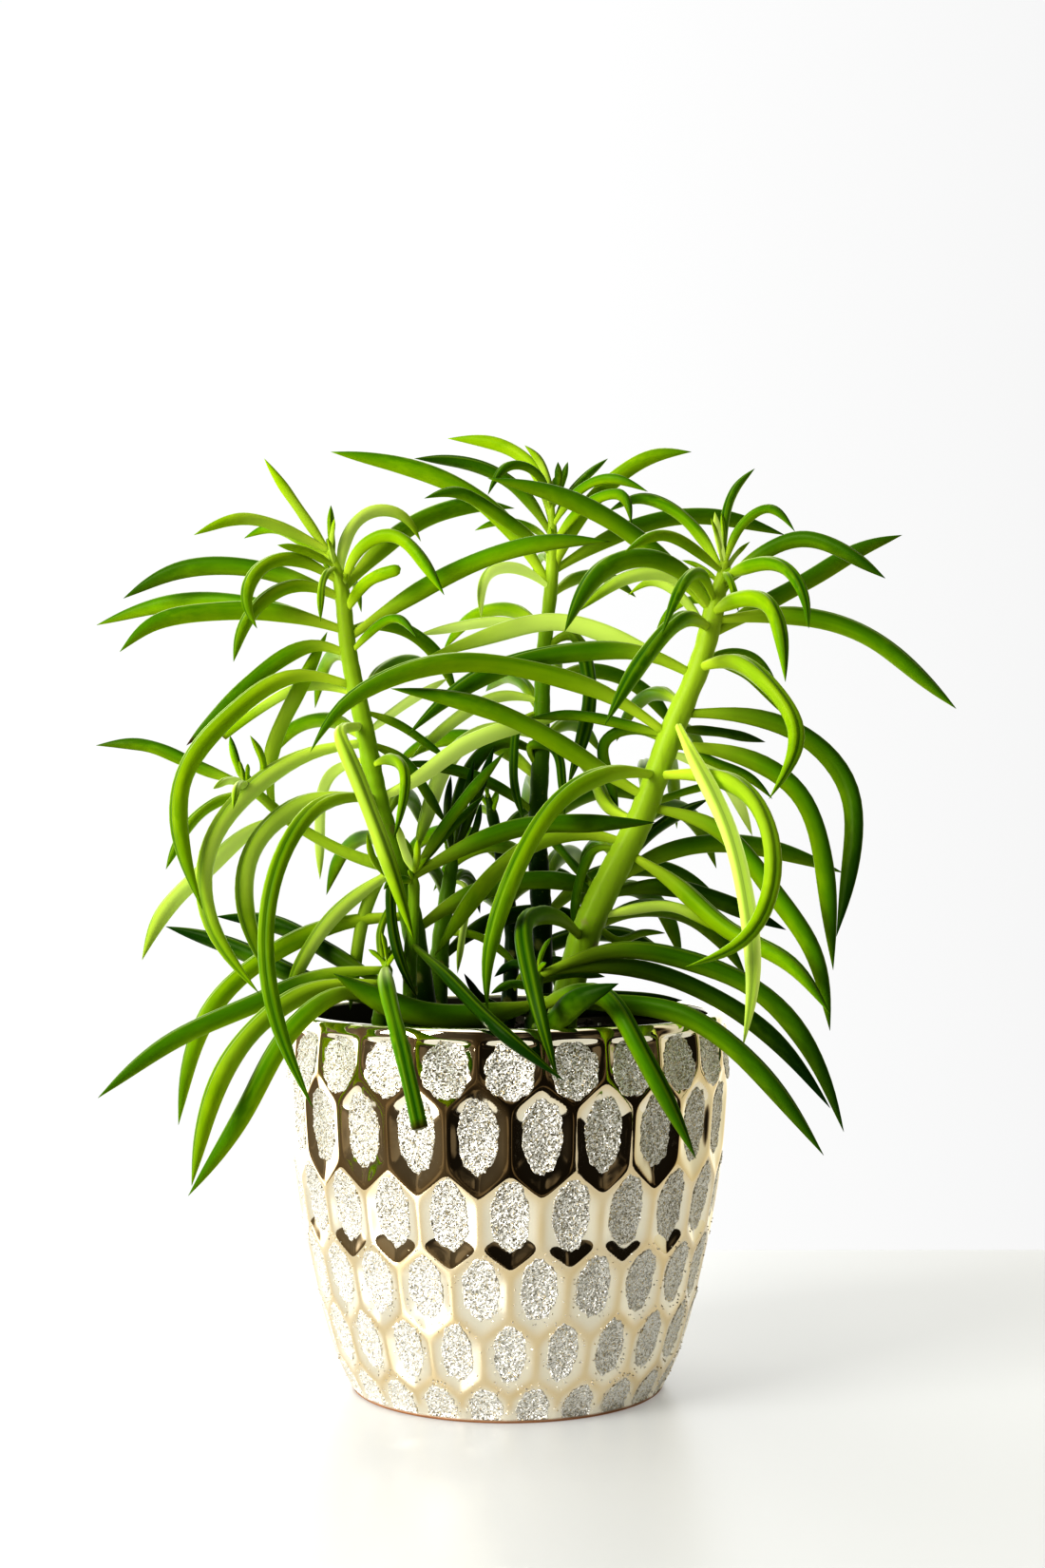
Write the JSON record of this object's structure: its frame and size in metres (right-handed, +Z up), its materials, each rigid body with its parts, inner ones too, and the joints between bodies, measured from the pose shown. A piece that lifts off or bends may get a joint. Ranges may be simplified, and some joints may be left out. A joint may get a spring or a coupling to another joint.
{
  "type": "potted peperomia",
  "caption": "Bushy potted peperomia with long bean-shaped leaves on thick stems, in a round pot with a honeycomb of dimples.",
  "frame": {"origin": "on the pot's axis at the flat underside of its foot, which is the table's surface", "axes": "+Z up along the pot's axis, -Y towards the viewer of the plant's front, +X to that viewer's right"},
  "size_m": [0.2554, 0.1728, 0.2862],
  "materials": {
    "pot_glaze": "mirror-bright champagne gold glaze, with a patch of silver glitter in each dimple",
    "soil": "damp dark potting soil",
    "foliage": "smooth waxy succulent leaves, mid green above and yellow green below, on lime stems"
  },
  "bodies": {
    "root": {"pot": "pot_glaze", "soil": "soil", "left_stem": "foliage", "back_stem": "foliage", "right_stem": "foliage", "inner_stem": "foliage", "star_shoot": "foliage", "left_shoot": "foliage", "front_shoot": "foliage", "rear_shoot": "foliage"}
  },
  "joints": []
}
